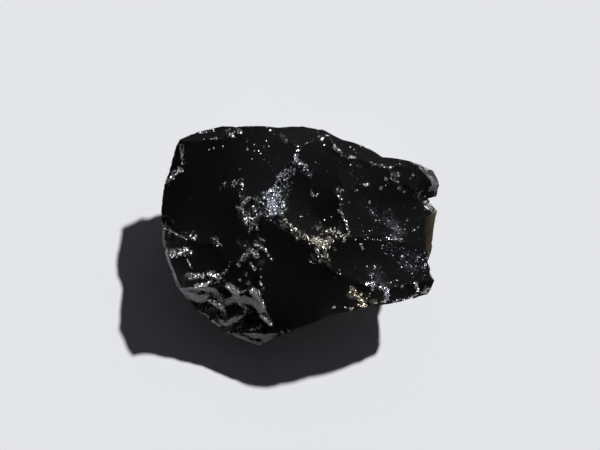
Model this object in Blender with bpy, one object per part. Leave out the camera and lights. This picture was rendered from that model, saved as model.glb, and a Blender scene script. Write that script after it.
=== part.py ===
"""A chunk of raw obsidian that fits in the palm: one solid piece of black volcanic glass.

Glass has no grain, so each blow or knock takes off a flake and leaves a smooth, slightly hollow scar.
Neighbouring scars meet in sharp ridges, and where two of them meet at the edge of the piece the rim
stands out over a narrower foot. The solid is built the same way: the ridges are drawn first, as points
that were chosen by hand, each scar is the skin stretched between its ridges, and the skin is then
sunk a little towards the inside, as deep as the scar's radius asks.

Build units are millimetres. The mesh is written in metres, +Z up, with its origin under the middle
of the piece, on the face that it rests on.
"""
import math

import bmesh
import bpy
from mathutils import Vector, noise

NODE_NAME = "obsidian_chunk"
MM = 0.001

FINE_SPACING = 1.2      # edge length on the top and the rim, where the small scars are
COARSE_SPACING = 2.3    # edge length on the flanks and the foot
FINE_ABOVE = 13.5       # height at which the fine mesh starts
SCAR_BORDER = 0.3       # width of the border that each scar starts with
REFINE_PASSES = 9
SETTLE_PASSES = 40
RIDGE_ROUNDING = 3      # smoothing steps along the ridges, so that they bend instead of kinking
SHARP_TURN = math.radians(50)   # a ridge that turns by more than this keeps its corner
RIDGE_WANDER = 0.22     # how far a ridge strays from its smooth line
WANDER_LENGTH = 2.6     # distance over which it strays one way and back

FLAT = None             # the radius of a scar that is a plain flat break

GLASS_COLOUR = (0.010, 0.010, 0.011, 1.0)
GLASS_ROUGHNESS = 0.06

# The outer edge as seen from above, clockwise from the corner at the back left: (x, y, z).
RIM = (
    (-21.5, 17.1, 21.8), (-18.4, 18.5, 21.8), (-13.8, 19.4, 22.5), (-9.7, 19.5, 22.2), (-4.3, 19.4, 20.8),
    (0.5, 19.5, 19.5), (4.3, 18.9, 19.6), (7.6, 17.2, 19.3), (11.9, 16.1, 18.3), (15.0, 14.1, 18.0),
    (17.8, 14.0, 18.4), (20.6, 13.2, 18.2), (24.1, 11.7, 14.6), (25.6, 9.5, 14.2), (23.1, 6.5, 15.8),
    (24.8, 4.4, 16.6), (24.1, 1.6, 16.6), (23.9, -2.2, 16.7), (23.1, -4.7, 17.2), (24.4, -8.3, 17.0),
    (23.2, -10.7, 16.4), (19.9, -11.7, 17.6), (16.2, -12.4, 18.8), (12.2, -13.0, 19.4), (8.8, -13.7, 19.8),
    (4.0, -15.2, 18.9), (-1.2, -17.4, 15.4), (-4.9, -18.9, 12.0), (-7.5, -20.3, 9.4), (-13.5, -18.2, 9.0),
    (-15.9, -16.2, 10.6), (-18.3, -14.2, 12.4), (-20.7, -11.3, 15.4), (-22.3, -9.2, 17.6),
    (-24.5, -2.8, 17.4), (-24.9, -0.2, 15.7), (-25.1, 1.2, 15.3), (-25.0, 4.3, 16.9), (-24.7, 7.1, 18.0),
    (-24.4, 9.4, 18.4), (-23.5, 11.3, 19.2), (-22.8, 14.7, 19.8),
)

# Where ridges meet or bend on the top of the piece.
CRESTS = {
    # the highest ridge, from the back down to the middle left
    "peak": (-0.7, 13.9, 22.6), "spine1": (-2.9, 11.5, 23.0), "spine2": (-5.2, 8.6, 23.5),
    "summit": (-6.8, 5.7, 24.0), "back1": (-2.5, 17.1, 22.0), "back2": (-0.2, 15.6, 22.2),
    "back3": (2.6, 16.9, 21.2),
    # bevels at the back left corner
    "corner": (-20.8, 16.6, 22.2), "bevel1": (-20.7, 12.9, 21.2), "bevel2": (-22.3, 10.6, 20.2),
    "brow1": (-17.0, 17.1, 22.6), "brow2": (-12.2, 17.2, 22.9),
    # the bowl right of the spine
    "bowl1": (1.6, 11.6, 21.4), "bowl2": (2.2, 8.3, 20.6), "bowl3": (3.1, 6.5, 20.0),
    "bowl4": (3.4, 2.0, 18.8), "lip1": (-2.9, 2.5, 22.6), "lip2": (0.4, -0.1, 21.6),
    "knot": (3.6, -2.3, 20.8), "lip3": (6.1, -1.0, 20.9), "horn": (7.1, 7.9, 21.0),
    "fin": (7.7, 3.7, 21.2), "hub": (9.0, -0.2, 20.9),
    # the back right edge and the tip
    "wedge1": (6.1, 16.0, 20.6), "wedge2": (7.5, 14.4, 20.4), "wedge3": (10.2, 13.7, 19.8),
    "wedge4": (15.5, 12.4, 19.4), "saddle": (6.8, 11.7, 20.4), "step1": (11.9, 8.8, 19.8),
    "step2": (15.1, 8.3, 19.2), "step3": (18.2, 8.5, 18.8), "step4": (20.9, 8.2, 18.0),
    "notch": (16.9, 10.6, 19.8), "tip1": (22.6, 11.0, 17.8), "tip2": (23.9, 9.0, 17.2),
    "tip3": (24.8, 6.95, 15.0),
    # the long faint ridge across the right side
    "rib1": (12.9, -0.6, 19.6), "rib2": (17.3, -1.0, 18.5),
    # the front right edge
    "fall1": (5.0, -6.3, 20.2), "fall2": (9.2, -8.1, 19.9), "fall3": (12.8, -9.3, 19.6),
    "gold": (8.4, -10.3, 19.3), "edge1": (15.8, -10.1, 18.9), "edge2": (18.6, -9.0, 18.2),
    "edge3": (21.1, -8.5, 18.2),
    # the shelf on the left
    "shelf1": (-22.5, 0.4, 18.2), "shelf2": (-20.3, -0.6, 18.9), "shelf3": (-18.5, -1.3, 19.3),
    "shelf4": (-14.9, -1.6, 20.0), "shelf5": (-10.9, 0.9, 21.4), "shelf6": (-11.1, 4.7, 22.2),
    "shelf7": (-9.0, 6.7, 23.2), "side1": (-23.6, -4.1, 19.1), "side2": (-22.4, -7.4, 19.0),
    "side3": (-21.3, -9.5, 18.6), "chip1": (-20.5, -3.7, 19.0), "chip2": (-19.3, -6.7, 18.2),
    "chip3": (-18.7, -2.7, 18.7), "chip4": (-13.3, -4.1, 19.6), "chip5": (-12.2, -5.9, 19.0),
    "chip6": (-14.6, -7.7, 18.2), "chip7": (-17.1, -7.6, 18.0), "ledge1": (-17.9, -9.5, 17.5),
    "ledge2": (-14.6, -9.5, 17.1),
    # the broken steps at the front left
    "rung1": (-6.8, 1.6, 22.4), "rung2": (-7.5, -1.4, 21.0), "rung3": (-10.2, -4.9, 19.6),
    "rung4": (-7.9, -5.9, 19.2), "rung5": (-6.9, -9.0, 18.0), "rung6": (-7.0, -11.2, 17.2),
    "rung7": (-6.2, -13.8, 15.4), "rung8": (-4.6, -16.8, 13.4), "tread1": (-8.9, -10.3, 17.2),
    "tread2": (-11.0, -10.7, 16.6), "tread3": (-13.0, -8.9, 17.2), "tread4": (-14.0, -12.6, 14.2),
    "tread5": (-16.6, -14.1, 12.6), "tread6": (-9.8, -13.5, 13.8), "tread7": (-13.9, -16.1, 11.2),
    "toe1": (-3.7, -17.9, 13.4), "toe2": (-8.8, -18.1, 11.4),
}

# Where the scars of the flanks meet, half way down, clockwise from the back left.
FLANK = (
    (-16.2, 10.2, 7.0), (-8.0, 17.0, 9.0), (4.0, 17.2, 9.5), (15.2, 10.6, 7.0), (21.2, 9.0, 11.0),
    (20.8, 1.2, 7.0), (19.4, -7.6, 9.0), (13.6, -11.6, 5.0), (3.0, -13.4, 9.0), (-4.5, -16.4, 4.6),
    (-12.0, -15.4, 3.6), (-19.6, -9.8, 8.0), (-21.8, -3.2, 9.0), (-21.2, 4.0, 4.6), (-21.2, 9.8, 10.5),
)

# The lower edge of the blunt rim at the right, clockwise. The rim is about 1.5 mm thick there.
LOWER_EDGE = (
    (24.8, 4.3, 15.4), (24.2, 1.6, 15.1), (24.0, -2.2, 15.2), (23.1, -4.6, 15.9),
)

# Where the small flakes just below the rim end, clockwise from the back left, and then the ends of
# the undercuts that leave the right rim and the tip thin.
NIBBLES = (
    (-13.0, 17.9, 16.0), (10.4, 15.0, 13.4), (21.8, -4.6, 14.4), (9.4, -13.5, 13.8), (-24.2, 0.8, 12.4),
    (22.7, 3.3, 14.6), (22.2, -1.0, 14.4), (20.6, 9.6, 11.0), (24.0, 7.8, 11.6),
)

# The flat break that the piece rests on, clockwise from the back left.
FOOT = (
    (-12.4, 7.4, 0.0), (-4.6, 12.0, 0.0), (6.4, 9.6, 0.0), (12.6, 3.8, 0.0), (11.4, -3.4, 0.0),
    (7.2, -8.8, 0.0), (-5.2, -11.0, 0.0), (-13.2, -6.8, 0.0), (-15.8, 1.2, 0.0),
)

# Every scar: its hollow's radius, and the points round it. A letter and a number is a point of a ring:
# r the rim, e its lower edge, w the flank, n the nibbles, g the foot.
SCARS = (
    # top
    (45, "corner brow1 brow2 r3 r4 back1 back2 peak spine1 spine2 summit shelf7 shelf6 shelf5 shelf4 "
         "shelf3 shelf2 shelf1 r36 r37 r38 r39 bevel2 bevel1"),
    (20, "r0 corner bevel1 bevel2 r39 r40 r41"),
    (20, "r0 r1 r2 r3 brow2 brow1 corner"),
    (30, "r4 r5 r6 back3 back2 back1"),
    (38, "back3 r6 wedge1 saddle horn bowl3 bowl2 bowl1 peak back2"),
    (30, "r6 r7 r8 r9 wedge4 wedge3 wedge2 wedge1"),
    (20, "r9 r10 r11 wedge4"),
    (32, "wedge1 wedge2 wedge3 wedge4 notch step2 step1 horn saddle"),
    (30, "wedge4 r11 tip1 step4 step3 step2 notch"),
    (25, "r11 r12 r13 tip2 tip1"),
    (20, "tip1 tip2 r13 tip3 r14 step4"),
    (36, "horn fin hub rib1 rib2 r17 r16 r15 r14 step4 step3 step2 step1"),
    (36, "hub rib1 rib2 r17 r18 r19 edge3 edge2 edge1 fall3 fall2 fall1 knot lip3"),
    (15, "r19 r20 r21 edge2 edge3"),
    (15, "r21 r22 edge1 edge2"),
    (15, "edge1 r22 r23 fall3"),
    (15, "fall2 fall3 r23 r24 gold"),
    (34, "summit lip1 lip2 knot fall1 fall2 gold r24 r25 r26 toe1 rung8 rung7 rung6 rung5 rung4 "
         "rung2 rung1"),
    (13, "peak spine1 spine2 summit lip1 lip2 knot bowl4 bowl3 bowl2 bowl1"),
    (11, "bowl3 bowl4 knot lip3 hub fin horn"),
    # left shelf and front steps
    (15, "shelf5 shelf6 shelf7 summit rung1 rung2"),
    (20, "shelf4 shelf5 rung2 rung3 chip5 chip4"),
    (12, "rung2 rung4 rung3"),
    (14, "chip5 rung3 rung4 rung5 rung6 tread1 tread2 tread3 ledge2 chip6"),
    (20, "shelf3 shelf4 chip4 chip5 chip6 chip7 chip2 chip1 chip3"),
    (15, "r36 shelf1 shelf2 shelf3 chip3 chip1 side1 r35"),
    (20, "side1 chip1 chip2 side3 side2"),
    (15, "chip2 chip7 chip6 ledge2 ledge1 side3"),
    (40, "r35 side1 side2 side3 r33 r34"),
    (20, "side3 ledge1 ledge2 tread4 tread5 r31 r32 r33"),
    (15, "r31 tread5 tread4 tread7 r29 r30"),
    (14, "ledge2 tread3 tread2 tread6 tread7 tread4"),
    (14, "tread2 tread1 rung6 rung7 rung8 toe1 toe2 r29 tread7 tread6"),
    (40, "r26 r27 r28 r29 toe2 toe1"),
    # flanks
    (40, "r0 r1 r2 n0 w1 g1 g0 w0"),
    (15, "r2 r3 w1 n0"),
    (30, "r3 r4 r5 w2 w1"),
    (30, "w1 w2 g2 g1"),
    (40, "r5 r6 r7 n1 w3 g2 w2"),
    (18, "r7 r8 r9 w3 n1"),
    (25, "r9 r10 r11 w4 w3"),
    (20, "r11 r12 n8 n7"),
    (20, "r12 r13 tip3 n8"),
    (20, "n8 tip3 r14 n7"),
    (20, "r11 n7 r14 w4"),
    (30, "w3 w4 w5 g3 g2"),
    (20, "r15 r16 r17 r18 e3 e2 e1 e0"),
    (20, "e0 e1 e2 e3 n2 n6 n5"),
    (25, "r14 r15 e0 n5 w5 w4"),
    (35, "n5 n6 n2 w6 g4 g3 w5"),
    (15, "r18 r19 w6 n2 e3"),
    (20, "r19 r20 r21 r22 w7 w6"),
    (25, "w6 w7 g5 g4"),
    (18, "r22 r23 n3 w7"),
    (30, "r23 r24 r25 w8 w7 n3"),
    (35, "w7 w8 g6 g5"),
    (25, "r25 r26 r27 w9 w8"),
    (25, "w8 w9 w10 g6"),
    (25, "r27 r28 r29 w10 w9"),
    (25, "r29 r30 r31 w11 w10"),
    (30, "w10 w11 g7 g6"),
    (25, "r31 r32 r33 r34 w12 w11"),
    (30, "w11 w12 g8 g7"),
    (15, "r34 r35 n4 w12"),
    (25, "r35 r36 r37 w13 w12 n4"),
    (25, "w12 w13 g8"),
    (30, "r37 r38 r39 r40 w14 w13"),
    (30, "w13 w14 g0 g8"),
    (25, "r40 r41 r0 w0 w14"),
    (25, "w14 w0 g0"),
    (FLAT, "g0 g1 g2 g3 g4 g5 g6 g7 g8"),
)


def clear_scene():
    for thing in list(bpy.data.objects):
        bpy.data.objects.remove(thing, do_unlink=True)


def named_points():
    """Every control point under the name that the scars use for it."""
    points = dict(CRESTS)
    for letter, ring in (("r", RIM), ("e", LOWER_EDGE), ("w", FLANK), ("n", NIBBLES), ("g", FOOT)):
        points.update({f"{letter}{place}": point for place, point in enumerate(ring)})
    return points


def build_cage():
    """One large face for each scar, joined along the ridges into a closed shape.

    Each face gets a narrow border before it is filled with triangles, so that the fillings of two
    neighbours can't both cut the same corner of the ridge between them.
    """
    mesh = bmesh.new()
    scar_layer = mesh.faces.layers.int.new("scar")
    verts = {name: mesh.verts.new(point) for name, point in named_points().items()}
    for number, (_, outline) in enumerate(SCARS):
        face = mesh.faces.new([verts[name] for name in outline.split()])
        face[scar_layer] = number
    bmesh.ops.recalc_face_normals(mesh, faces=mesh.faces)
    bmesh.ops.inset_individual(mesh, faces=mesh.faces, thickness=SCAR_BORDER)
    bmesh.ops.triangulate(mesh, faces=mesh.faces)
    return mesh, scar_layer


def is_ridge(edge, scar_layer):
    one, other = edge.link_faces
    return one[scar_layer] != other[scar_layer]


def spacing_at(edge):
    middle_height = (edge.verts[0].co.z + edge.verts[1].co.z) / 2
    return FINE_SPACING if middle_height > FINE_ABOVE else COARSE_SPACING


def ridge_neighbours(vert, scar_layer):
    return [edge.other_vert(vert) for edge in vert.link_edges if is_ridge(edge, scar_layer)]


def is_corner(vert, one, other):
    return (vert.co - one.co).angle(other.co - vert.co) > SHARP_TURN


def cut_in_two(mesh, edges):
    bmesh.ops.subdivide_edges(mesh, edges=edges, cuts=1)
    bmesh.ops.triangulate(mesh, faces=[face for face in mesh.faces if len(face.verts) > 3])


def refine(mesh, scar_layer):
    """Cut the long edges in two, and turn the others so that the triangles stay compact."""
    cut_in_two(mesh, [edge for edge in mesh.edges if edge.calc_length() > 1.4 * spacing_at(edge)])
    inner_edges = [edge for edge in mesh.edges if not is_ridge(edge, scar_layer)]
    bmesh.ops.beautify_fill(mesh, faces=mesh.faces, edges=inner_edges, method="ANGLE")


def free_the_ridges(mesh, scar_layer):
    """Cut each inner edge that joins two ridge points, so that a ridge can bend without a fold."""
    on_ridge = {vert for vert in mesh.verts if ridge_neighbours(vert, scar_layer)}
    cut_in_two(mesh, [edge for edge in mesh.edges
                      if on_ridge.issuperset(edge.verts) and not is_ridge(edge, scar_layer)])


def round_ridges(mesh, scar_layer):
    """Move each point of a ridge towards the middle of its neighbours.

    The junctions stay, and so do the sharp corners.
    """
    targets = {}
    for vert in mesh.verts:
        neighbours = ridge_neighbours(vert, scar_layer)
        if len(neighbours) == 2 and not is_corner(vert, *neighbours):
            middle = (neighbours[0].co + neighbours[1].co) / 2
            targets[vert] = vert.co.lerp(middle, 0.5)
    for vert, target in targets.items():
        vert.co = target


def let_ridges_wander(mesh, scar_layer):
    """Real ridges aren't ruled lines: shift them a little, the foot's only along the ground."""
    for vert in mesh.verts:
        if not ridge_neighbours(vert, scar_layer):
            continue
        shift = noise.noise_vector(vert.co / WANDER_LENGTH) * RIDGE_WANDER
        if vert.co.z == 0:
            shift.z = 0
        vert.co += shift


def hollow_depth(vert, scar_layer):
    """How far a point of a hollow lies below the mean of its neighbours, from the hollow's radius."""
    radius = SCARS[vert.link_faces[0][scar_layer]][0]
    if radius is FLAT:
        return 0.0
    squares = [edge.calc_length() ** 2 for edge in vert.link_edges]
    return sum(squares) / len(squares) / (2 * radius)


def settle_scars(mesh, scar_layer, passes):
    """Stretch each scar between its ridges like a skin, sunk to the hollow's radius."""
    inner = [vert for vert in mesh.verts if not ridge_neighbours(vert, scar_layer)]
    for _ in range(passes):
        mesh.normal_update()
        targets = []
        for vert in inner:
            ring = [edge.other_vert(vert).co for edge in vert.link_edges]
            middle = sum(ring, Vector()) / len(ring)
            targets.append(middle - vert.normal * hollow_depth(vert, scar_layer))
        for vert, target in zip(inner, targets):
            vert.co = target


def build_mesh():
    mesh, scar_layer = build_cage()
    for _ in range(REFINE_PASSES):
        refine(mesh, scar_layer)
        settle_scars(mesh, scar_layer, passes=2)
    free_the_ridges(mesh, scar_layer)
    for _ in range(RIDGE_ROUNDING):
        round_ridges(mesh, scar_layer)
    let_ridges_wander(mesh, scar_layer)
    settle_scars(mesh, scar_layer, SETTLE_PASSES)
    return mesh


def centre_on_foot(mesh):
    """Put the origin on the ground, under the middle of the piece."""
    low_x, high_x = min(v.co.x for v in mesh.verts), max(v.co.x for v in mesh.verts)
    low_y, high_y = min(v.co.y for v in mesh.verts), max(v.co.y for v in mesh.verts)
    bmesh.ops.translate(mesh, verts=mesh.verts, vec=(-(low_x + high_x) / 2, -(low_y + high_y) / 2, 0))
    bmesh.ops.scale(mesh, verts=mesh.verts, vec=(MM, MM, MM))


def glass_material():
    material = bpy.data.materials.new("obsidian")
    material.use_nodes = True
    shader = material.node_tree.nodes["Principled BSDF"]
    shader.inputs["Base Color"].default_value = GLASS_COLOUR
    shader.inputs["Roughness"].default_value = GLASS_ROUGHNESS
    shader.inputs["Metallic"].default_value = 0.0
    return material


def main():
    clear_scene()
    mesh = build_mesh()
    centre_on_foot(mesh)
    data = bpy.data.meshes.new(NODE_NAME)
    mesh.to_mesh(data)
    mesh.free()
    data.materials.append(glass_material())
    chunk = bpy.data.objects.new(NODE_NAME, data)
    bpy.context.scene.collection.objects.link(chunk)


main()
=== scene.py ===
# %% [markdown]
# # A raw chunk of obsidian
#
# Obsidian is volcanic glass. It cooled too fast to grow crystals, so it has no grain to break along:
# every knock takes off a shell-shaped flake and leaves a smooth hollow, called a conchoidal scar.
# The solid that this lesson starts from already has the scars and the sharp ridges between them, at
# about one point a millimetre. Here it gets what only shows from close by: fine ripples, nicked
# ridges, crushed places that glitter, and glass that is black in the lump and brown at a thin edge.

import math
import random

import bmesh
import bpy
import numpy as np
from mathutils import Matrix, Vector, kdtree, noise


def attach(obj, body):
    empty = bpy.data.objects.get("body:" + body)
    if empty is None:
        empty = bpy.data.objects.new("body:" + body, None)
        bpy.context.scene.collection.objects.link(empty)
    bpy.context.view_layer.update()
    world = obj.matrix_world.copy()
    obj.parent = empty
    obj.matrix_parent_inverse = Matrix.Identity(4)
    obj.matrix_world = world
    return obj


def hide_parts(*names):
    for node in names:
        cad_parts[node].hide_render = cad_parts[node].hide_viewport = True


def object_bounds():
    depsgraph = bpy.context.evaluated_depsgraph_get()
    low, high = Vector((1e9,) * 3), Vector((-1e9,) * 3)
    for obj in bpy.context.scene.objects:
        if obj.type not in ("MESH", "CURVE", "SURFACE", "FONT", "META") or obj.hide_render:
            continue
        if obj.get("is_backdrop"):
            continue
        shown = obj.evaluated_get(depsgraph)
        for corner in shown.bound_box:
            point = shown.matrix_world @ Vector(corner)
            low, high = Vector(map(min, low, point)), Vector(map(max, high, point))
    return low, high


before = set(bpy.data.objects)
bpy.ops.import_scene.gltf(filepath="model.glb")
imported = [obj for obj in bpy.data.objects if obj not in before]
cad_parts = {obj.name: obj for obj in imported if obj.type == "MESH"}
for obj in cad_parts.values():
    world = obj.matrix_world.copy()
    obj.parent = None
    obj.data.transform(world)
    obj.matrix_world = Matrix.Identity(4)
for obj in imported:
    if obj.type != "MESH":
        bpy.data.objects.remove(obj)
cad_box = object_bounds()
NODE = "obsidian_chunk"
MM = 0.001
TINY = 1e-12            # keeps a division from failing where there is nothing to divide by
print("the solid reaches from", [round(c / MM, 2) for c in cad_box[0]],
      "to", [round(c / MM, 2) for c in cad_box[1]], "mm")

# %% [markdown]
# ## A working copy
#
# The solid itself stays untouched. Its mesh is copied into a bmesh, in millimetres, because the
# small forms are easier to think about as 0.3 than as 0.0003. The file gives every triangle its own
# three corners, so the corners that share a place are welded first: without that, neighbours would
# drift apart as soon as anything moves.

# %% Copy and weld
WELD_DISTANCE = 0.001


def copy_of_solid():
    mesh = bmesh.new()
    mesh.from_mesh(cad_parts[NODE].data)
    bmesh.ops.scale(mesh, verts=mesh.verts, vec=(1 / MM, 1 / MM, 1 / MM))
    bmesh.ops.remove_doubles(mesh, verts=mesh.verts, dist=WELD_DISTANCE)
    mesh.normal_update()
    return mesh


skin = copy_of_solid()
print("welded:", len(skin.verts), "points,", len(skin.faces), "triangles")

# %% [markdown]
# ## Find the scars
#
# A scar is a smooth patch, and a ridge is where the surface turns sharply. So the patches can be
# found by walking from face to face and stopping at every edge that bends by more than six degrees.
# Each face keeps its scar's number, and the numbers are passed on when faces are cut up later.
# Crumbs of a few triangles aren't scars: they join the neighbour that they lie flattest to.

# %% Number the scars
RIDGE_ANGLE = math.radians(6)
SMALLEST_SCAR = 9       # triangles
JOINING_ROUNDS = 4

scar_of = skin.faces.layers.int.new("scar")


def spread_number(start, number):
    start[scar_of] = number
    waiting, size = [start], 1
    while waiting:
        face = waiting.pop()
        for edge in face.edges:
            if edge.calc_face_angle() > RIDGE_ANGLE:
                continue
            for beside in edge.link_faces:
                if beside[scar_of] == 0:
                    beside[scar_of] = number
                    waiting.append(beside)
                    size += 1
    return size


def join_crumbs(sizes):
    for face in skin.faces:
        if sizes[face[scar_of]] >= SMALLEST_SCAR:
            continue
        flattest_first = sorted(face.edges, key=lambda edge: edge.calc_face_angle())
        for edge in flattest_first:
            beside = next(f for f in edge.link_faces if f != face)
            if sizes[beside[scar_of]] >= SMALLEST_SCAR:
                face[scar_of] = beside[scar_of]
                break


scar_sizes = [0]
for face in skin.faces:
    if face[scar_of] == 0:
        scar_sizes.append(spread_number(face, len(scar_sizes)))
for _ in range(JOINING_ROUNDS):
    join_crumbs(scar_sizes)
print(len({face[scar_of] for face in skin.faces}), "scars")

# %% [markdown]
# ## How hollow each scar is
#
# Cutting the triangles smaller doesn't make them rounder, so the fine mesh will have to be smoothed,
# and smoothing pulls a hollow flat. The cure is to measure the hollow first. In a bowl, a point lies
# below the mean of its neighbours, by an amount that grows with the square of their distance. That
# ratio is measured on every scar here, and given back to the fine mesh while it is smoothed.

# %% Measure the hollows
SHARP_ANGLE = math.radians(20)      # a ridge that runs out inside a scar is still one


def is_ridge(edge):
    one, other = edge.link_faces
    return one[scar_of] != other[scar_of] or edge.calc_face_angle() > SHARP_ANGLE


def measured_hollows():
    found = {}
    for vert in skin.verts:
        if any(is_ridge(edge) for edge in vert.link_edges):
            continue
        ring = [edge.other_vert(vert).co for edge in vert.link_edges]
        middle = sum(ring, Vector()) / len(ring)
        square = sum((place - vert.co).length_squared for place in ring) / len(ring)
        ratio = (middle - vert.co).dot(vert.normal) / square
        found.setdefault(vert.link_faces[0][scar_of], []).append(ratio)
    return {number: sum(values) / len(values) for number, values in found.items()}


hollow_of = measured_hollows()
deepest = max(hollow_of.values())
print("the tightest hollow has a radius of", round(1 / (2 * deepest), 1), "mm")
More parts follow.
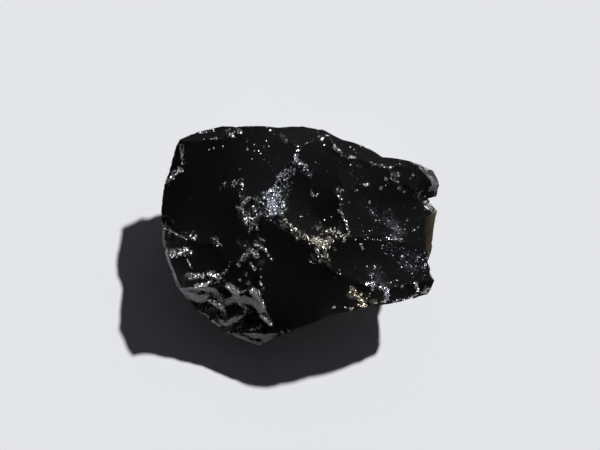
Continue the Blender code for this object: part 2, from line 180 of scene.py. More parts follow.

# %% [markdown]
# ## Where the glass is crushed
#
# A blow that doesn't take off a flake crushes the glass under it, and so does a ridge that is
# knocked. A crushed place is a patch of splinters, each with its own small mirror faces, and it
# glitters in the sun. Where the cracks lie closer than one can see, they only leave a grey haze.
#
# Both are drawn as strokes on a plan. The plan is squared paper, 600 by 450 squares, laid
# over the piece as one sees it from the camera's height. A stroke runs from one square to another,
# and has a half width in squares and a strength from 0 to 1. The strokes of one tint stand together:
# the finest cracks look blue, and thin brown glass behind a crack makes it yellow. What isn't crushed
# has a tint too, a faint blue one, which only shows in the little light that the glass scatters.

# %% The strokes: from square, to square, half width, strength
COOL, WHITE = (0.86, 0.88, 1.0), (1.0, 1.0, 1.0)
WARM, GOLDEN = (1.0, 0.93, 0.83), (1.0, 0.85, 0.64)
PLAIN = np.array((0.93, 0.92, 1.0))     # where nothing is crushed
CRUSHED = {
    "spine": (COOL, (
        (296, 156, 297, 161, 1.8, 1.0), (293, 163, 293, 163, 1.3, 1.0),
        (292, 168, 280, 177, 3.0, 0.55), (293, 172, 284, 182, 3.0, 0.40),
        (279, 179, 272, 189, 1.5, 0.80), (272, 189, 267, 193, 1.6, 1.0),
        (276, 192, 270, 214, 5.0, 0.70), (284, 184, 280, 206, 7.0, 0.32),
        (271, 199, 272, 213, 4.0, 0.95), (275, 206, 270, 212, 2.5, 1.0),
        (264, 197, 258, 212, 5.0, 0.50), (258, 199, 255, 206, 4.0, 0.40),
        (268, 218, 277, 221, 3.0, 0.30), (298, 163, 310, 172, 4.0, 0.22))),
    "left of the spine": (WHITE, (
        (249, 198, 243, 203, 1.8, 1.0), (242, 204, 241, 209, 1.2, 0.50),
        (237, 207, 241, 208, 1.1, 0.90), (252, 207, 256, 210, 1.3, 0.90),
        (248, 216, 246, 223, 2.0, 0.85), (258, 214, 253, 221, 1.0, 0.90),
        (257, 225, 257, 229, 1.2, 1.0), (250, 229, 249, 233, 0.9, 0.80),
        (244, 213, 252, 222, 6.0, 0.40), (241, 192, 243, 202, 3.0, 0.28),
        (241, 184, 241, 184, 1.0, 0.60), (243, 182, 243, 186, 0.8, 0.60),
        (243, 190, 245, 190, 1.3, 0.60), (233, 181, 234, 186, 1.5, 0.30),
        (221, 187, 244, 180, 3.0, 0.20))),
    "lip of the bowls": (WARM, (
        (283, 220, 286, 219, 1.2, 0.90), (282, 225, 296, 230, 3.5, 0.50),
        (287, 222, 296, 230, 1.2, 0.80), (291, 233, 295, 231, 1.0, 0.90),
        (296, 232, 310, 240, 4.0, 0.42), (300, 234, 297, 238, 2.0, 0.60),
        (306, 236, 308, 238, 1.2, 0.60))),
    "knot": (WARM, (
        (314, 240, 329, 243, 4.0, 0.85), (313, 241, 325, 243, 2.5, 1.0),
        (318, 247, 325, 246, 3.5, 0.80), (316, 249, 319, 256, 2.0, 0.85),
        (327, 250, 323, 256, 1.6, 0.55), (329, 231, 337, 231, 3.0, 0.70),
        (330, 229, 330, 229, 1.4, 1.0), (335, 228, 335, 228, 1.2, 1.0),
        (328, 237, 331, 239, 1.4, 0.90), (332, 240, 332, 240, 1.4, 1.0),
        (321, 234, 321, 234, 1.4, 0.80), (319, 229, 321, 225, 1.0, 0.60),
        (320, 221, 320, 223, 1.0, 0.90), (325, 220, 325, 222, 1.5, 0.35),
        (331, 217, 331, 217, 1.3, 0.60), (314, 258, 327, 258, 5.0, 0.30),
        (334, 249, 334, 249, 2.0, 0.35), (336, 236, 348, 236, 3.0, 0.25),
        (300, 240, 312, 246, 2.0, 0.25))),
    "fin": (WHITE, (
        (339, 210, 343, 216, 1.7, 1.0), (341, 205, 341, 208, 1.1, 0.75),
        (340, 199, 340, 204, 0.9, 0.50), (344, 219, 346, 222, 1.1, 0.80),
        (346, 222, 347, 227, 1.3, 1.0), (347, 228, 349, 233, 1.2, 1.0),
        (345, 238, 344, 241, 1.2, 0.90), (339, 196, 339, 196, 1.5, 0.90),
        (336, 194, 341, 190, 2.0, 0.35), (312, 193, 313, 196, 1.4, 1.0),
        (315, 196, 318, 194, 1.1, 0.90), (313, 185, 311, 190, 1.0, 0.35),
        (311, 175, 311, 175, 1.2, 0.60))),
    "clump": (WHITE, (
        (238, 264, 239, 265, 1.5, 1.0), (241, 260, 246, 255, 3.0, 0.70),
        (250, 250, 257, 255, 2.5, 0.85), (255, 243, 262, 248, 2.5, 0.75),
        (259, 238, 264, 241, 1.5, 0.60), (243, 242, 245, 247, 1.0, 0.50),
        (251, 264, 255, 270, 1.5, 0.80), (265, 249, 272, 260, 1.5, 0.55))),
    "left shelf": (WHITE, (
        (163, 228, 171, 231, 0.8, 0.90), (171, 231, 186, 239, 0.8, 0.90),
        (191, 236, 196, 240, 3.0, 0.50), (193, 231, 195, 235, 2.0, 0.35),
        (214, 239, 219, 245, 2.5, 0.55), (218, 245, 218, 246, 1.1, 0.90),
        (171, 252, 189, 252, 3.5, 0.45), (174, 255, 171, 257, 1.3, 0.80),
        (184, 248, 188, 250, 1.3, 0.80), (187, 259, 192, 269, 0.8, 0.80),
        (190, 277, 196, 275, 2.0, 0.50), (197, 275, 202, 276, 2.8, 0.85),
        (210, 273, 218, 277, 3.2, 1.0), (221, 275, 227, 270, 1.1, 0.90),
        (228, 267, 230, 262, 1.0, 0.50), (196, 286, 206, 284, 1.9, 1.0),
        (207, 284, 212, 280, 1.0, 0.90))),
    "front steps": (WHITE, (
        (228, 285, 237, 292, 2.8, 1.0), (239, 293, 246, 290, 1.0, 0.85),
        (248, 283, 248, 283, 2.3, 1.0), (246, 275, 246, 275, 1.6, 0.90),
        (240, 280, 240, 280, 1.7, 0.90), (252, 290, 258, 295, 3.0, 1.0),
        (260, 282, 263, 289, 1.4, 0.65), (261, 278, 261, 278, 1.0, 0.70),
        (259, 297, 264, 306, 1.8, 1.0), (262, 316, 271, 324, 1.8, 1.0),
        (251, 330, 262, 326, 1.2, 0.40), (210, 300, 222, 307, 2.0, 0.55),
        (221, 306, 222, 307, 1.3, 0.85), (235, 298, 246, 307, 2.0, 0.25),
        (212, 320, 220, 325, 1.2, 0.35))),
    "front right edge": (COOL, (
        (372, 282, 373, 289, 1.6, 0.95), (376, 267, 371, 275, 2.0, 0.22),
        (376, 284, 385, 290, 3.0, 0.32), (387, 290, 386, 299, 2.0, 1.0),
        (389, 300, 382, 302, 1.3, 0.70), (402, 287, 402, 287, 1.3, 0.80),
        (397, 281, 397, 281, 1.0, 0.40), (416, 283, 418, 291, 1.5, 0.95),
        (426, 287, 432, 290, 1.5, 0.50), (411, 297, 428, 287, 1.2, 0.40),
        (394, 302, 411, 298, 1.5, 0.35))),
    "front edge": (GOLDEN, (
        (351, 290, 363, 297, 3.5, 0.42), (354, 292, 356, 293, 1.8, 0.85),
        (360, 300, 366, 305, 1.9, 0.90), (358, 305, 366, 306, 1.5, 0.85),
        (334, 307, 334, 307, 1.4, 0.80), (346, 308, 353, 309, 1.2, 0.50),
        (368, 300, 378, 302, 2.0, 0.25))),
    "right scar": (COOL, (
        (370, 210, 380, 216, 4.0, 0.09), (386, 213, 399, 233, 6.0, 0.10),
        (390, 247, 414, 263, 9.0, 0.12), (401, 257, 406, 261, 5.0, 0.17),
        (352, 239, 394, 240, 0.7, 0.35), (361, 245, 363, 249, 1.3, 0.70),
        (367, 239, 367, 239, 1.3, 0.50), (407, 220, 407, 220, 1.0, 0.90),
        (418, 227, 418, 228, 1.0, 0.80), (413, 230, 415, 230, 1.0, 0.60),
        (418, 245, 418, 245, 1.0, 0.50), (417, 257, 421, 260, 1.8, 0.45),
        (428, 257, 424, 268, 1.5, 0.35), (376, 220, 376, 220, 0.8, 0.80),
        (369, 202, 370, 203, 1.2, 0.80), (425, 203, 434, 211, 2.0, 0.40))),
    "back right edge": (WARM, (
        (334, 146, 336, 149, 1.4, 1.0), (338, 150, 342, 153, 1.3, 0.80),
        (342, 154, 349, 157, 1.5, 0.70), (350, 157, 354, 157, 1.3, 0.80),
        (382, 166, 390, 167, 1.5, 0.28), (393, 174, 396, 180, 2.2, 0.28),
        (385, 179, 394, 179, 1.5, 0.30), (390, 178, 391, 178, 1.1, 0.80),
        (413, 175, 413, 175, 1.1, 1.0), (365, 185, 366, 185, 1.6, 0.50),
        (368, 184, 368, 184, 1.0, 0.70), (381, 187, 381, 188, 1.3, 0.60),
        (399, 188, 400, 189, 1.3, 0.50), (412, 163, 425, 170, 1.4, 0.18),
        (425, 170, 434, 181, 1.6, 0.20), (434, 181, 437, 190, 1.4, 0.20),
        (428, 202, 434, 204, 1.4, 0.40))),
    "back left corner": (WHITE, (
        (181, 145, 183, 163, 1.8, 0.50), (179, 169, 181, 171, 2.2, 0.90),
        (172, 178, 176, 172, 2.4, 0.60), (166, 181, 168, 181, 2.4, 0.40),
        (198, 132, 214, 131, 1.5, 0.35), (227, 130, 229, 130, 2.0, 0.55),
        (230, 134, 234, 136, 1.6, 1.0), (217, 139, 217, 139, 1.1, 0.80),
        (209, 150, 209, 150, 1.0, 0.60), (214, 148, 214, 148, 1.0, 0.60),
        (223, 147, 223, 147, 1.0, 0.60), (248, 149, 248, 149, 1.3, 0.70),
        (264, 147, 264, 147, 1.1, 0.60), (240, 169, 240, 169, 1.0, 0.50))),
}
HAZE = (
    (281, 136, 286, 142, 2.0, 0.60), (293, 144, 300, 149, 1.6, 0.25),
    (236, 130, 240, 131, 3.0, 0.50), (300, 166, 308, 176, 5.0, 0.50),
    (284, 190, 280, 212, 5.0, 0.60), (270, 216, 280, 224, 4.0, 0.60),
    (246, 205, 256, 218, 7.0, 0.60), (241, 192, 244, 200, 4.0, 0.50),
    (340, 222, 342, 230, 3.0, 0.50), (318, 226, 326, 230, 4.0, 0.40),
    (314, 258, 326, 262, 5.0, 0.50), (354, 164, 359, 166, 3.0, 0.30),
    (385, 176, 397, 174, 4.0, 0.24), (361, 203, 364, 200, 4.0, 0.20),
    (372, 210, 380, 217, 6.0, 0.24), (388, 215, 398, 232, 7.0, 0.24),
    (392, 246, 410, 262, 10.0, 0.26), (374, 268, 384, 290, 7.0, 0.22),
    (412, 160, 434, 180, 2.0, 0.12), (425, 203, 432, 210, 2.5, 0.60),
    (168, 234, 186, 242, 5.0, 0.40), (172, 252, 188, 252, 4.0, 0.40),
    (188, 276, 196, 276, 4.0, 0.60), (192, 292, 214, 294, 4.0, 0.30),
    (240, 240, 262, 262, 6.0, 0.55), (350, 294, 372, 302, 4.0, 0.50),
    (164, 241, 172, 275, 1.8, 0.90), (184, 292, 232, 300, 8.0, 0.26),
    (206, 312, 246, 330, 11.0, 0.26), (232, 296, 262, 318, 9.0, 0.24),
    (180, 282, 196, 292, 5.0, 0.22),
)
print(len(CRUSHED), "groups of glittering strokes,", len(HAZE), "hazy strokes")

# %% [markdown]
# ## From the plan to the piece
#
# A place on the piece is moved onto the plan along the line of sight, so a high place lands a little
# further out than a low one. There the distance to each stroke gives a strength, and where strokes
# overlap the strongest one counts. The strengths can be asked for anywhere, and three steps do so:
# the cutting of the mesh, the crushing and the tint.

# %% Look up the strengths at any place
SEEN_FROM = 480.0       # mm above the floor
SQUARE = 0.1874         # mm on the floor
PLAN_MIDDLE = (300, 225)
MIDDLE_PLACE = (-0.15, 2.17)    # what lies under the plan's middle, in mm
LOWEST_CRUSHED = 8.0    # the strokes are for the top of the piece, not for what lies under it
FADE = 1.1              # how steeply a stroke fades: at its half width, half its strength is left
FAINT = 1e-3            # a tint needs strokes stronger than this to count


def on_plan(places):
    """Squares to the right and squares down, as seen from above."""
    square = SQUARE * (1 - places[:, 2] / SEEN_FROM)
    right = PLAN_MIDDLE[0] + (places[:, 0] - MIDDLE_PLACE[0]) / square
    down = PLAN_MIDDLE[1] - (places[:, 1] - MIDDLE_PLACE[1]) / square
    return np.stack((right, down), axis=1)


def lay_stroke(plan, stroke, wider, strength):
    """Raise the strengths near a stroke to the stroke's own, where that is the stronger."""
    x0, y0, x1, y1, half_width, most = stroke
    half_width += wider
    reach = half_width * (1 + 0.5 / FADE)
    low = (min(x0, x1) - reach, min(y0, y1) - reach)
    high = (max(x0, x1) + reach, max(y0, y1) + reach)
    near = np.nonzero(((plan > low) & (plan < high)).all(axis=1))[0]
    start, along = np.array((x0, y0)), np.array((x1 - x0, y1 - y0))
    share = (plan[near] - start) @ along / max(along @ along, TINY)
    nearest = start + np.clip(share, 0, 1)[:, None] * along
    distance = np.linalg.norm(plan[near] - nearest, axis=1) / half_width
    own = most * np.clip(0.5 + FADE * (1 - distance), 0, 1)
    strength[near] = np.maximum(strength[near], own)


def strongest(places, strokes, wider=0.0):
    """Strength from 0 to 1 at an array of places, where the strongest stroke counts."""
    plan, strength = on_plan(places), np.zeros(len(places))
    for stroke in strokes:
        lay_stroke(plan, stroke, wider, strength)
    return strength * (places[:, 2] > LOWEST_CRUSHED)


def all_strokes():
    return [stroke for _, strokes in CRUSHED.values() for stroke in strokes]


def tint_at(places):
    """The mean of the tints, each counted as much as its strokes are strong there."""
    total, weights = np.zeros((len(places), 3)), np.zeros(len(places))
    for tint, strokes in CRUSHED.values():
        weight = strongest(places, strokes)
        total += weight[:, None] * np.array(tint)
        weights += weight
    return (total + PLAIN * FAINT) / (weights[:, None] + FAINT)


ON_THE_SPINE = np.array([[-5.0, 7.2, 23.0]])
print(len(all_strokes()), "strokes glitter; the strength at a place on the spine is",
      round(float(strongest(ON_THE_SPINE, all_strokes())[0]), 2))

# %% [markdown]
# ## Cut the mesh finer
#
# Small forms need small triangles, but only where they are. An edge is cut in two when it is longer
# than the spacing wanted at its middle: coarse on the flanks, fine on the top, and finest in the
# crushed places. A triangle with all three edges cut becomes four, and one with a single cut edge
# becomes two. A triangle with two cut edges has no such clean pattern, so its third is cut as well.
# After each round the edges inside the scars are turned, to keep the triangles compact.

# %% Refine
FOOT_SPACING = 2.5
FLANK_SPACING = 0.52
TOP_SPACING = 0.28
GRAIN_SPACING = 0.14
STROKE_MARGIN = 0.8     # squares, so that no thin stroke slips between two points
TOP_HEIGHT = 14.5       # the top starts here
FADE_HEIGHT = 3.0       # and the spacing changes over this much below it
GRAIN_SLOPE = 1.5       # with these two, the grain spacing comes in from a strength of 0.13
GRAIN_START = 0.2       # and is reached at 0.8
TOO_LONG = 1.4          # times the spacing: then an edge is cut
MOST_ROUNDS = 6


def wanted_spacing(places):
    top_share = np.clip((places[:, 2] - TOP_HEIGHT + FADE_HEIGHT) / FADE_HEIGHT, 0, 1)
    spacing = FLANK_SPACING + (TOP_SPACING - FLANK_SPACING) * top_share
    spacing[places[:, 2] < WELD_DISTANCE] = FOOT_SPACING
    crushed = strongest(places, all_strokes(), STROKE_MARGIN)
    grain_share = np.clip(GRAIN_SLOPE * crushed - GRAIN_START, 0, 1)
    return spacing + (GRAIN_SPACING - spacing) * grain_share


def edge_table():
    """The edges, their lengths and middles, and for each triangle the numbers of its three edges."""
    skin.edges.index_update()
    edges = list(skin.edges)
    ends = np.array([(*edge.verts[0].co, *edge.verts[1].co) for edge in edges])
    lengths = np.linalg.norm(ends[:, :3] - ends[:, 3:], axis=1)
    sides = np.array([[edge.index for edge in face.edges] for face in skin.faces])
    return edges, lengths, (ends[:, :3] + ends[:, 3:]) / 2, sides


def edges_to_cut():
    edges, lengths, middles, sides = edge_table()
    cut = lengths > TOO_LONG * wanted_spacing(middles)
    while True:
        two_cut = sides[cut[sides].sum(axis=1) == 2].ravel()
        if cut[two_cut].all():
            break
        cut[two_cut] = True
    return [edges[number] for number in np.nonzero(cut)[0]]


for _ in range(MOST_ROUNDS):
    to_cut = edges_to_cut()
    if not to_cut:
        break
    bmesh.ops.subdivide_edges(skin, edges=to_cut, cuts=1, use_single_edge=True, use_grid_fill=True)
    inner = [edge for edge in skin.edges if not is_ridge(edge)]
    bmesh.ops.beautify_fill(skin, faces=skin.faces, edges=inner, method="ANGLE")
print("refined:", len(skin.verts), "points,", len(skin.faces), "triangles")

# %% [markdown]
# ## From bmesh to arrays
#
# From here on no edge is cut or turned: only the points move. Numpy moves all of them at once, which
# is hundreds of times faster than a loop over the bmesh, so the mesh is written out as plain arrays:
# places, triangles, edges, and which edges are ridges.

# %% Arrays
skin.verts.index_update()
places = np.array([vert.co for vert in skin.verts])
triangles = np.array([[vert.index for vert in face.verts] for face in skin.faces])
pairs = np.array([[vert.index for vert in edge.verts] for edge in skin.edges])
ridge_edge = np.array([is_ridge(edge) for edge in skin.edges])
scar_number = np.array([vert.link_faces[0][scar_of] for vert in skin.verts])
skin.free()
count = len(places)


def sums_over(edge_pairs, values):
    """For every point, the sum of a value over the points at the other end of its edges."""
    ends = np.concatenate((edge_pairs[:, 0], edge_pairs[:, 1]))
    given = np.concatenate((values[edge_pairs[:, 1]], values[edge_pairs[:, 0]]))
    if given.ndim == 1:
        return np.bincount(ends, given, count)
    return np.stack([np.bincount(ends, column, count) for column in given.T], axis=1)


def point_normals(places):
    corners = places[triangles]
    face_normals = np.cross(corners[:, 1] - corners[:, 0], corners[:, 2] - corners[:, 0])
    normals = np.stack([np.bincount(triangles.ravel(), np.repeat(column, 3), count)
                        for column in face_normals.T], axis=1)
    return normals / np.maximum(np.linalg.norm(normals, axis=1), TINY)[:, None]


neighbours = sums_over(pairs, np.ones(count))
ridge_pairs = pairs[ridge_edge]
ridge_neighbours = sums_over(ridge_pairs, np.ones(count))
on_ridge = ridge_neighbours > 0
on_foot = places[:, 2] < WELD_DISTANCE
print(int(on_ridge.sum()), "points lie on a ridge, and", int(on_foot.sum()),
      "on the face that the piece rests on")

# %% [markdown]
# ## Smooth the scars and keep their hollows
#
# A ridge point moves towards the middle of its two neighbours along the ridge, so the ridge turns
# into one flowing line while the places where three ridges meet stay. Then every other point goes to
# the mean of its neighbours, less the hollow that was measured. The points on the ground stay.

# %% Smooth
SHARP_TURN = math.radians(50)
RIDGE_PASSES = 6
SCAR_PASSES = 60

hollow = np.array([hollow_of.get(number, 0.0) for number in scar_number])


def ridge_middle(places):
    return sums_over(ridge_pairs, places) / np.maximum(ridge_neighbours, 1)[:, None]


def ridge_corners(places):
    """Points where a ridge turns so much that it keeps its corner."""
    lengths = np.linalg.norm(places[ridge_pairs[:, 0]] - places[ridge_pairs[:, 1]], axis=1)
    spacing = np.bincount(ridge_pairs.ravel(), np.repeat(lengths, 2), count)
    spacing /= np.maximum(ridge_neighbours, 1)
    aside = np.linalg.norm(ridge_middle(places) - places, axis=1)
    return aside > math.sin(SHARP_TURN / 2) * spacing


def smooth_ridges(places):
    return np.where(follows[:, None], (places + ridge_middle(places)) / 2, places)


def smooth_scars(places):
    moves = ~on_ridge & ~on_foot
    middle = sums_over(pairs, places) / neighbours[:, None]
    steps = places[pairs[:, 0]] - places[pairs[:, 1]]
    squares = (steps ** 2).sum(axis=1)
    ends = np.concatenate((pairs[:, 0], pairs[:, 1]))
    square = np.bincount(ends, np.concatenate((squares, squares)), count) / neighbours
    sunk = middle - point_normals(places) * (hollow * square)[:, None]
    return np.where(moves[:, None], sunk, places)


follows = (ridge_neighbours == 2) & ~on_foot & ~ridge_corners(places)
solid_places = places.copy()
for _ in range(RIDGE_PASSES):
    places = smooth_ridges(places)
for _ in range(SCAR_PASSES):
    places = smooth_scars(places)
moved = np.linalg.norm(places - solid_places, axis=1)
print("smoothing moved a point by", round(float(moved.mean()), 3), "mm on average,",
      round(float(moved.max()), 2), "mm at most")

# %% [markdown]
# ## Ripples and dents
#
# The shock that takes off a flake runs out from where the stone was struck and leaves rings in the
# scar, like rings in water. They are shallow, but glass is a mirror, and they bend what it shows.
# Each scar gets a point of impact on its own edge, and waves that grow wider with the distance from
# it. Near the ridges the waves fade, because a ridge is where two scars were cut off. The steep
# flanks also get dents, from soft noise, so that they mirror the floor in patches.

# %% Ripples in every scar
RIPPLE_HEIGHT = 0.022
RIPPLE_LENGTH = 2.1
RIPPLE_STRETCH = 0.035      # how much longer the waves get with each millimetre
RIPPLE_WOBBLE = 1.1         # how far a ring strays from a circle
WOBBLE_SIZE = 5.0
UNEVEN_SIZE = 7.0           # the ripples come and go over this distance
UNEVEN_MEAN = 0.5           # and on average this share of their height is there
FLANK_RIPPLES = 2.6         # the blows on the flanks were harder: how many times higher they ripple
FLANK_DENTS = 0.80
DENT_SIZE = 2.6
STEEP_FROM = 0.85           # a flank starts where the normal's upward part is less than this
STEEP_OVER = 0.35           # and is at its full share after this much more
RIDGE_MARGIN = 1.6
SEED_STEP = (17.3, 5.9, 31.7)


def noise_at(places, size, seed):
    """Soft noise around zero. Each seed moves the places to another part of the same noise."""
    shift = Vector([seed * step for step in SEED_STEP])
    return np.array([noise.noise(Vector(place) / size + shift) for place in places])


def tree_of(places, rows):
    """A search tree over some of the points."""
    tree = kdtree.KDTree(len(rows))
    for row in rows:
        tree.insert(places[row], int(row))
    tree.balance()
    return tree


def distance_to_ridges(places):
    tree = tree_of(places, np.nonzero(on_ridge)[0])
    return np.array([tree.find(place)[2] for place in places])


def ripple_waves(places):
    waves = np.zeros(count)
    wobble = noise_at(places, WOBBLE_SIZE, seed=1) * RIPPLE_WOBBLE
    for number in sorted(set(scar_number)):
        rows = np.nonzero(scar_number == number)[0]
        edge_rows = rows[on_ridge[rows]]
        if len(edge_rows) == 0:
            continue
        impact = places[edge_rows[random.Random(int(number)).randrange(len(edge_rows))]]
        distance = np.linalg.norm(places[rows] - impact, axis=1) + wobble[rows]
        turns = distance / (RIPPLE_LENGTH * (1 + RIPPLE_STRETCH * distance))
        waves[rows] = np.sin(2 * math.pi * turns)
    return waves


ridge_distance = distance_to_ridges(places)
ripple_share = np.clip(ridge_distance / RIDGE_MARGIN, 0, 1) * ~on_foot
unevenness = UNEVEN_MEAN + noise_at(places, UNEVEN_SIZE, seed=2)
normals = point_normals(places)
steepness = np.clip((STEEP_FROM - normals[:, 2]) / STEEP_OVER, 0, 1)
ripples = ripple_waves(places) * ripple_share * unevenness * RIPPLE_HEIGHT
ripples *= 1 + (FLANK_RIPPLES - 1) * steepness
dents = noise_at(places, DENT_SIZE, seed=9) * FLANK_DENTS * steepness * ripple_share
places = places + normals * (ripples + dents)[:, None]
print("the ripples stand", round(float(ripples.max()), 3), "mm high at most, and the dents go",
      round(float(-dents.min()), 2), "mm deep")

# %% [markdown]
# ## Nicked ridges
#
# A glass ridge is as thin as a razor and loses a small flake at every touch. A nick is the same
# shape as a scar, only smaller: a shallow bowl. So each one is cut with a ball that stands outside
# the ridge and reaches a little way in: the points inside the ball go to its surface. The places are
# drawn at random, but from a fixed seed, so that the piece is the same one every time.

# %% Cut the nicks
NICK_COUNT = 520
NICK_WIDTHS = (0.5, 2.0)
NICK_RARITY = 2.5               # the higher, the rarer the wide nicks
NICK_DEPTHS = (0.08, 0.16)      # as a share of the width
DEEPEST_CUT = 1.3               # times the depth: a nick that would cut off a thin corner is left out

nick_draw = random.Random(11)


def cut_nick(places, tree, middle, outward, width, depth):
    radius = (width * width / 4 + depth * depth) / (2 * depth)
    centre = middle + outward * (radius - depth)
    found = tree.find_range(centre, radius)
    rows = np.array([row for _, row, _ in found if not on_foot[row]], dtype=int)
    away = places[rows] - centre
    distances = np.linalg.norm(away, axis=1)
    inside = distances < radius
    if not inside.any() or (radius - distances).max() > DEEPEST_CUT * depth:
        return False
    places[rows[inside]] = centre + away[inside] * (radius / distances[inside])[:, None]
    return True


def cut_nicks(places):
    places = places.copy()
    tree, normals = tree_of(places, range(count)), point_normals(places)
    ridge_rows = np.nonzero(on_ridge & ~on_foot)[0]
    done = 0
    for _ in range(NICK_COUNT):
        row = ridge_rows[nick_draw.randrange(len(ridge_rows))]
        least, most = NICK_WIDTHS
        width = least + (most - least) * nick_draw.random() ** NICK_RARITY
        depth = width * nick_draw.uniform(*NICK_DEPTHS)
        done += cut_nick(places, tree, places[row].copy(), normals[row], width, depth)
    print(done, "nicks cut")
    return places


before = places
places = cut_nicks(places)
nicked = np.linalg.norm(places - before, axis=1)
print(int((nicked > 0).sum()), "points were moved by nicks,",
      round(float(nicked.max()), 2), "mm at most")

# %% [markdown]
# ## Splinters and dust
#
# A crushed slope breaks into small steps, so its points are drawn to the nearest step. On the steps
# at the front, crumbs still stick to the glass, so the points in those strokes are raised. Then every
# point gets its own small push along the surface's normal. The faces there are left flat instead of
# shaded smooth, so each triangle is one splinter that mirrors the light its own way. Ridges get some
# of it too, in short stretches, since they are the first thing that is knocked, and a few crumbs of
# dust lie all over the top. The strengths and the tint are stored on the points, for the glass.

# %% Crush
UPWARD_SLOPE = 4        # full strength where the normal's upward part is 1 / 4 or more
PATCH_SIZE = 0.5        # the crushing comes and goes over this distance
PATCH_CONTRAST = 4.0
WORN_WIDTH = 0.28       # how far the wear reaches from a ridge
WORN_STRENGTH = 0.30
WORN_STRETCH = 2.2      # the worn stretches of a ridge are about this long
WORN_CONTRAST = 3       # how sharply a stretch begins and ends
WORN_START = 0.3        # the higher, the fewer the stretches
DUST_COUNT = 60
DUST_STRENGTHS = (0.08, 0.32)
DUST_LIES_ON = 0.6      # dust stays where the normal's upward part is more than this
HAZE_SIZE = 0.9
HAZE_CONTRAST = 1.2
STEP_HEIGHT = 0.26
STEP_WANDER = 0.20      # how far a step rises and falls along the slope
WANDER_SIZE = 1.3
STEP_SHARPNESS = 0.60   # 1 would make the treads level
CRUMB_HEIGHT = 0.80     # the crumbs that stick to the front steps
CRUMB_POWER = 2         # the higher, the less the weak places rise
GRAIN_DEPTH = 0.075     # where the crushing is strongest
GRAIN_PUSHES = (-0.9, 0.8)      # from inwards to outwards, times the depth
GRAIN_POWER = 1.5

dust_draw = np.random.default_rng(8)
push_draw = np.random.default_rng(5)


def drawn_on_top(places, normals, strokes):
    """The strokes' strengths, without the faces that look sideways or down."""
    return strongest(places, strokes) * np.clip(normals[:, 2] * UPWARD_SLOPE, 0, 1)


def crushing(places, normals):
    drawn = drawn_on_top(places, normals, all_strokes())
    uneven = drawn * (1 - drawn) * PATCH_CONTRAST * noise_at(places, PATCH_SIZE, seed=3)
    stretches = WORN_CONTRAST * noise_at(places, WORN_STRETCH, seed=4) - WORN_START
    worn = np.clip(1 - ridge_distance / WORN_WIDTH, 0, 1) * np.clip(stretches, 0, 1)
    crushed = np.maximum(np.clip(drawn + uneven, 0, 1), worn * WORN_STRENGTH)
    top_rows = np.nonzero(normals[:, 2] > DUST_LIES_ON)[0]
    dusty = dust_draw.choice(top_rows, DUST_COUNT, replace=False)
    crushed[dusty] = np.maximum(crushed[dusty], dust_draw.uniform(*DUST_STRENGTHS, DUST_COUNT))
    return crushed * ~on_foot


def haziness(places, normals):
    drawn = drawn_on_top(places, normals, HAZE)
    return np.clip(drawn * (1 + HAZE_CONTRAST * noise_at(places, HAZE_SIZE, seed=6)), 0, 1)


def step_shifts(places, crushed):
    """How far each point rises or sinks to reach the tread of its step."""
    raised = places[:, 2] + STEP_WANDER * noise_at(places, WANDER_SIZE, seed=7)
    share = raised / STEP_HEIGHT - np.round(raised / STEP_HEIGHT)
    return -share * STEP_HEIGHT * STEP_SHARPNESS * crushed


def crumb_rises(places):
    return CRUMB_HEIGHT * strongest(places, CRUSHED["front steps"][1]) ** CRUMB_POWER


normals = point_normals(places)
crushed = crushing(places, normals)
haze = haziness(places, normals)
tint = tint_at(places)
places[:, 2] += step_shifts(places, crushed)
places[:, 2] += crumb_rises(places)
normals = point_normals(places)
pushes = push_draw.uniform(*GRAIN_PUSHES, count) * GRAIN_DEPTH * crushed ** GRAIN_POWER
places = places + normals * pushes[:, None]
print("crushed:", int((crushed > 0).sum()), "points, with a mean strength of",
      round(float(crushed[crushed > 0].mean()), 2))

# %% [markdown]
# ## The finished mesh
#
# The arrays go back into a Blender mesh, in metres. Smooth shading is kept for the scars, the ridges
# are marked sharp so that the shading breaks there, and the splinters stay flat. The piece then
# takes the solid's place: it rides on the same body, and the plain solid is hidden behind it.

# %% Build the piece
FLAT_ABOVE = 0.3        # strength above which a face is a splinter


def mark_sharp(mesh):
    """Mark the ridges. Blender lists the edges in its own order, so they are known by their ends."""
    ridges = {tuple(sorted(pair)) for pair in ridge_pairs.tolist()}
    sharp = mesh.attributes.new("sharp_edge", "BOOLEAN", "EDGE")
    sharp.data.foreach_set("value", [tuple(sorted(edge.vertices)) in ridges for edge in mesh.edges])


def store_on_points(mesh):
    for name, strength in (("crushed", crushed), ("haze", haze)):
        stored = mesh.attributes.new(name, "FLOAT", "POINT")
        stored.data.foreach_set("value", strength.astype(np.float32))
    stored = mesh.attributes.new("tint", "FLOAT_COLOR", "POINT")
    colours = np.column_stack((tint, np.ones(count)))
    stored.data.foreach_set("color", colours.astype(np.float32).ravel())


def build_piece():
    mesh = bpy.data.meshes.new("obsidian")
    mesh.from_pydata((places * MM).tolist(), [], triangles.tolist())
    smooth = crushed[triangles].mean(axis=1) < FLAT_ABOVE
    mesh.polygons.foreach_set("use_smooth", smooth)
    mark_sharp(mesh)
    store_on_points(mesh)
    mesh.validate()
    piece = bpy.data.objects.new("obsidian", mesh)
    bpy.context.scene.collection.objects.link(piece)
    return piece


obsidian = build_piece()
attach(obsidian, "root")
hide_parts(NODE)
print("the piece has", len(obsidian.data.polygons), "triangles")

# %% [markdown]
# ## Black glass
#
# Obsidian isn't black paint. It is clear glass with so much iron in it that half the light is gone
# after a third of a millimetre, and blue goes first. So the surface is plain glass that lets light
# in, and the colour is an absorption inside: the lump comes out black and a thin edge olive brown,
# with no paint at all.
#
# Crushed glass has many more mirrors than its outer skin. They can't all be modelled, so a share of
# metal in the shader stands for them. A fine pattern of cells makes the grains, which are as small
# as the smallest triangles: the strength says how many of the cells are broken, and each broken cell
# leans its own way. Between them lies the haze, which is rough and never sparkles.

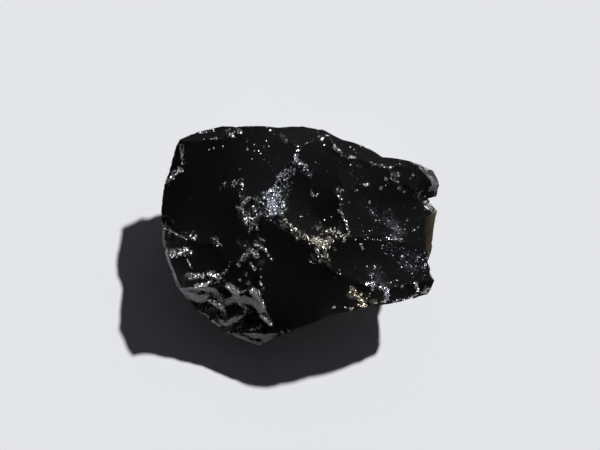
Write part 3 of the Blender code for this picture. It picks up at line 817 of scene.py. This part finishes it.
# %% Glass values
GLASS_IOR = 1.49
PASSED = (0.22, 0.17, 0.0, 1.0)         # a little red and green gets through, and no blue
ABSORPTION = 2500                       # per metre
CLEAR_SHARE = 0.9945                    # the rest is scattered by crystals too small to see
SCAR_ROUGHNESS = 0.05
HAZE_ROUGHNESS = 0.55
HAZE_MIRROR = 0.13
HAZE_SPECKLES = (1.7, 0.3)              # times the haze, from one cell to another
GRAIN_ROUGHNESS = (0.46, 0.24)          # where the glass is hardly crushed, and where most
GRAIN_MIRROR = 0.56
GRAIN_CELLS = 7000                      # per metre, so that a grain is about 0.14 mm
GRAIN_TILT = 1.1
MIDDLE_COLOUR = (0.5, 0.5, 0.5)         # a cell's colour, less this one, says which way it leans
PICK_SOFTNESS = 0.08                    # from a cell that is whole to one that is broken

green_absorption = ABSORPTION * (1 - PASSED[1])
print("the glass halves green light every", round(math.log(2) / green_absorption / MM, 2), "mm")

# %% [markdown]
# ## Helpers for the shader
#
# A shader is a set of nodes, wired together. Each helper makes one node, wires up what it is given
# and hands back its output, so that the shader itself reads like a row of sums.

# %% Small helpers for shader nodes
def add_math(nodes, link, operation, *values):
    """A math node. A value is a number or the output of another node."""
    node = nodes.new("ShaderNodeMath")
    node.operation = operation
    for socket, value in zip(node.inputs, values):
        if isinstance(value, bpy.types.NodeSocket):
            link(value, socket)
        else:
            socket.default_value = value
    return node.outputs["Value"]


def add_range(nodes, link, value, old_range, new_range):
    """Values between two ends, moved to lie between two others."""
    node = nodes.new("ShaderNodeMapRange")
    ends = dict(zip(("From Min", "From Max", "To Min", "To Max"), (*old_range, *new_range)))
    for name, end in {"Value": value, **ends}.items():
        if isinstance(end, bpy.types.NodeSocket):
            link(end, node.inputs[name])
        else:
            node.inputs[name].default_value = end
    return node.outputs["Result"]


def stored_on_points(nodes, name):
    node = nodes.new("ShaderNodeAttribute")
    node.attribute_name = name
    return node


print("helpers ready")

# %% [markdown]
# ## Grains
#
# The cells fill the space, not the surface, so no stretching shows on a slope. A cell has a random
# colour and a random number of its own. The number says at which strength the cell breaks, and the
# three parts of the colour say which way it leans once it is broken.

# %% The grains
def grain_cells(nodes, link):
    """A random colour and a random number for each cell."""
    place = nodes.new("ShaderNodeTexCoord")
    cells = nodes.new("ShaderNodeTexVoronoi")
    cells.inputs["Scale"].default_value = GRAIN_CELLS
    link(place.outputs["Object"], cells.inputs["Vector"])
    number = nodes.new("ShaderNodeTexWhiteNoise")
    link(cells.outputs["Position"], number.inputs["Vector"])
    return cells.outputs["Color"], number.outputs["Value"]


def leaning_normal(nodes, link, colour, broken):
    """The surface's normal, leaning another way in each broken cell."""
    steps = []
    for operation in ("SUBTRACT", "SCALE", "ADD", "NORMALIZE"):
        step = nodes.new("ShaderNodeVectorMath")
        step.operation = operation
        steps.append(step)
    centred, lean, leaning, unit = steps
    surface = nodes.new("ShaderNodeNewGeometry")
    link(colour, centred.inputs[0])
    centred.inputs[1].default_value = MIDDLE_COLOUR
    link(centred.outputs["Vector"], lean.inputs[0])
    link(add_math(nodes, link, "MULTIPLY", broken, GRAIN_TILT), lean.inputs["Scale"])
    link(surface.outputs["Normal"], leaning.inputs[0])
    link(lean.outputs["Vector"], leaning.inputs[1])
    link(leaning.outputs["Vector"], unit.inputs[0])
    return unit.outputs["Vector"]


print("each grain is", round(1 / GRAIN_CELLS / MM, 2), "mm wide")

# %% [markdown]
# ## The glass, wired up
#
# The surface is clear where nothing is stored. The haze makes it rough and a little bright, and a
# broken cell makes it bright with an edge of its own. The tint only colours what they give back.
# Light that goes in is taken away by the absorption, millimetre by millimetre.

# %% The glass
def wire_surface(nodes, link, shader):
    strength = stored_on_points(nodes, "crushed").outputs["Fac"]
    colour, number = grain_cells(nodes, link)
    above = add_math(nodes, link, "SUBTRACT", strength, number)
    broken = add_range(nodes, link, above, (-PICK_SOFTNESS, PICK_SOFTNESS), (0, 1))
    fine_cracks = add_math(nodes, link, "MULTIPLY", strength, strength)
    hazy = stored_on_points(nodes, "haze").outputs["Fac"]
    haze = add_math(nodes, link, "MAXIMUM", hazy, fine_cracks)

    rough = add_range(nodes, link, haze, (0, 1), (SCAR_ROUGHNESS, HAZE_ROUGHNESS))
    grain_rough = add_range(nodes, link, strength, (0, 1), GRAIN_ROUGHNESS)
    link(add_range(nodes, link, broken, (0, 1), (rough, grain_rough)), shader.inputs["Roughness"])
    speckles = add_range(nodes, link, number, (0, 1), HAZE_SPECKLES)
    speckled = add_math(nodes, link, "MULTIPLY", haze, speckles)
    hazy_mirror = add_math(nodes, link, "MULTIPLY", speckled, HAZE_MIRROR)
    grain_mirror = add_math(nodes, link, "MULTIPLY", strength, GRAIN_MIRROR)
    mirror = add_math(nodes, link, "MULTIPLY_ADD", broken, grain_mirror, hazy_mirror)
    link(mirror, shader.inputs["Metallic"])
    link(leaning_normal(nodes, link, colour, broken), shader.inputs["Normal"])
    link(stored_on_points(nodes, "tint").outputs["Color"], shader.inputs["Base Color"])


def black_glass():
    material = bpy.data.materials.new("obsidian_glass")
    material.use_nodes = True
    nodes, link = material.node_tree.nodes, material.node_tree.links.new
    shader, output = nodes["Principled BSDF"], nodes["Material Output"]
    shader.inputs["Transmission Weight"].default_value = CLEAR_SHARE
    shader.inputs["IOR"].default_value = GLASS_IOR
    wire_surface(nodes, link, shader)
    inside = nodes.new("ShaderNodeVolumeAbsorption")
    inside.inputs["Color"].default_value = PASSED
    inside.inputs["Density"].default_value = ABSORPTION
    link(inside.outputs["Volume"], output.inputs["Volume"])
    return material


obsidian.data.materials.append(black_glass())
print("the glass has", len(obsidian.data.materials[0].node_tree.nodes), "nodes")

# %% [markdown]
# ## Floor
#
# The piece lies on a plain pale floor, large enough to fill every view. It is dull, so that it takes
# the shadow but never mirrors the piece.

# %% Floor
FLOOR_SIDE = 6.0
FLOOR_COLOUR = (0.80, 0.81, 0.83, 1.0)
FLOOR_ROUGHNESS = 0.9
FLOOR_SHINE = 0.1


def pale_floor():
    half = FLOOR_SIDE / 2
    corners = [(-half, -half, 0), (half, -half, 0), (half, half, 0), (-half, half, 0)]
    mesh = bpy.data.meshes.new("floor")
    mesh.from_pydata(corners, [], [(0, 1, 2, 3)])
    material = bpy.data.materials.new("pale_floor")
    material.use_nodes = True
    shader = material.node_tree.nodes["Principled BSDF"]
    shader.inputs["Base Color"].default_value = FLOOR_COLOUR
    shader.inputs["Roughness"].default_value = FLOOR_ROUGHNESS
    shader.inputs["Specular IOR Level"].default_value = FLOOR_SHINE
    mesh.materials.append(material)
    floor = bpy.data.objects.new("floor", mesh)
    bpy.context.scene.collection.objects.link(floor)
    return floor


pale_floor()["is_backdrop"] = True
print("floor of", FLOOR_SIDE, "m")

# %% [markdown]
# ## Light
#
# One lamp stands for a small bright studio light at the upper right, so far away that its rays are
# parallel: it makes one clear shadow at the lower left. The room is dark, but it has a window at the
# back. Its weak light fades from there all the way round, and it is what the black scars mirror.

# %% Light
LAMP_DIRECTION = Vector((0.402, 0.535, 0.743))      # from the piece to the lamp
LAMP_STRENGTH = 3.92
LAMP_SIZE = math.radians(2.0)
ROOM_LIGHT = (0.035, 0.036, 0.040, 1.0)
BRIGHT_SIDE = Vector((0.25, 0.90, 0.15))            # the window's side of the room
BRIGHT_RANGE = (-0.1, 1)                            # 1 is straight at the window, -1 is away from it
ROOM_LIGHTS = (0.12, 3.35)                          # the light at the two ends of that range


def hang_lamp():
    lamp = bpy.data.lights.new("lamp", "SUN")
    lamp.energy = LAMP_STRENGTH
    lamp.angle = LAMP_SIZE
    holder = bpy.data.objects.new("lamp", lamp)
    holder.rotation_euler = LAMP_DIRECTION.to_track_quat("Z", "Y").to_euler()
    bpy.context.scene.collection.objects.link(holder)


def light_the_room():
    room = bpy.data.worlds.new("room")
    room.use_nodes = True
    nodes, link = room.node_tree.nodes, room.node_tree.links.new
    direction, towards = nodes.new("ShaderNodeTexCoord"), nodes.new("ShaderNodeVectorMath")
    towards.operation = "DOT_PRODUCT"
    link(direction.outputs["Generated"], towards.inputs[0])
    towards.inputs[1].default_value = BRIGHT_SIDE.normalized()
    lit = add_range(nodes, link, towards.outputs["Value"], BRIGHT_RANGE, ROOM_LIGHTS)
    nodes["Background"].inputs["Color"].default_value = ROOM_LIGHT
    link(lit, nodes["Background"].inputs["Strength"])
    bpy.context.scene.world = room


hang_lamp()
light_the_room()
bpy.context.scene.view_settings.view_transform = "Standard"
print("the lamp stands", round(math.degrees(math.asin(LAMP_DIRECTION.z))), "degrees high")

# %% [markdown]
# ## Camera
#
# The camera looks straight down from half a metre, at the place under the plan's middle. From so
# near, the top of the piece looks a little larger than its foot, as it did on the plan.

# %% Camera
CAMERA_PLACE = (MIDDLE_PLACE[0] * MM, MIDDLE_PLACE[1] * MM, SEEN_FROM * MM)
CAMERA_LENS = 153.7
CAMERA_SENSOR = 36.0


def set_camera():
    camera = bpy.data.cameras.new("camera")
    camera.lens = CAMERA_LENS
    camera.sensor_width = CAMERA_SENSOR
    holder = bpy.data.objects.new("camera", camera)
    holder.location = CAMERA_PLACE
    bpy.context.scene.collection.objects.link(holder)
    bpy.context.scene.camera = holder


set_camera()
half_angle = math.degrees(math.atan(CAMERA_SENSOR / 2 / CAMERA_LENS))
print("the camera sees", round(2 * half_angle, 1), "degrees across")

# %% [markdown]
# ## Check the size
#
# All the fine work must leave the piece the size that the solid has. Both boxes are measured,
# and the difference is printed for each side.

# %% Sizes, and the end
seen_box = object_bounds()
for corner, seen, solid in zip(("low", "high"), seen_box, cad_box):
    print(corner, "corner, mm from the solid's:", [round((a - b) / MM, 3) for a, b in zip(seen, solid)])
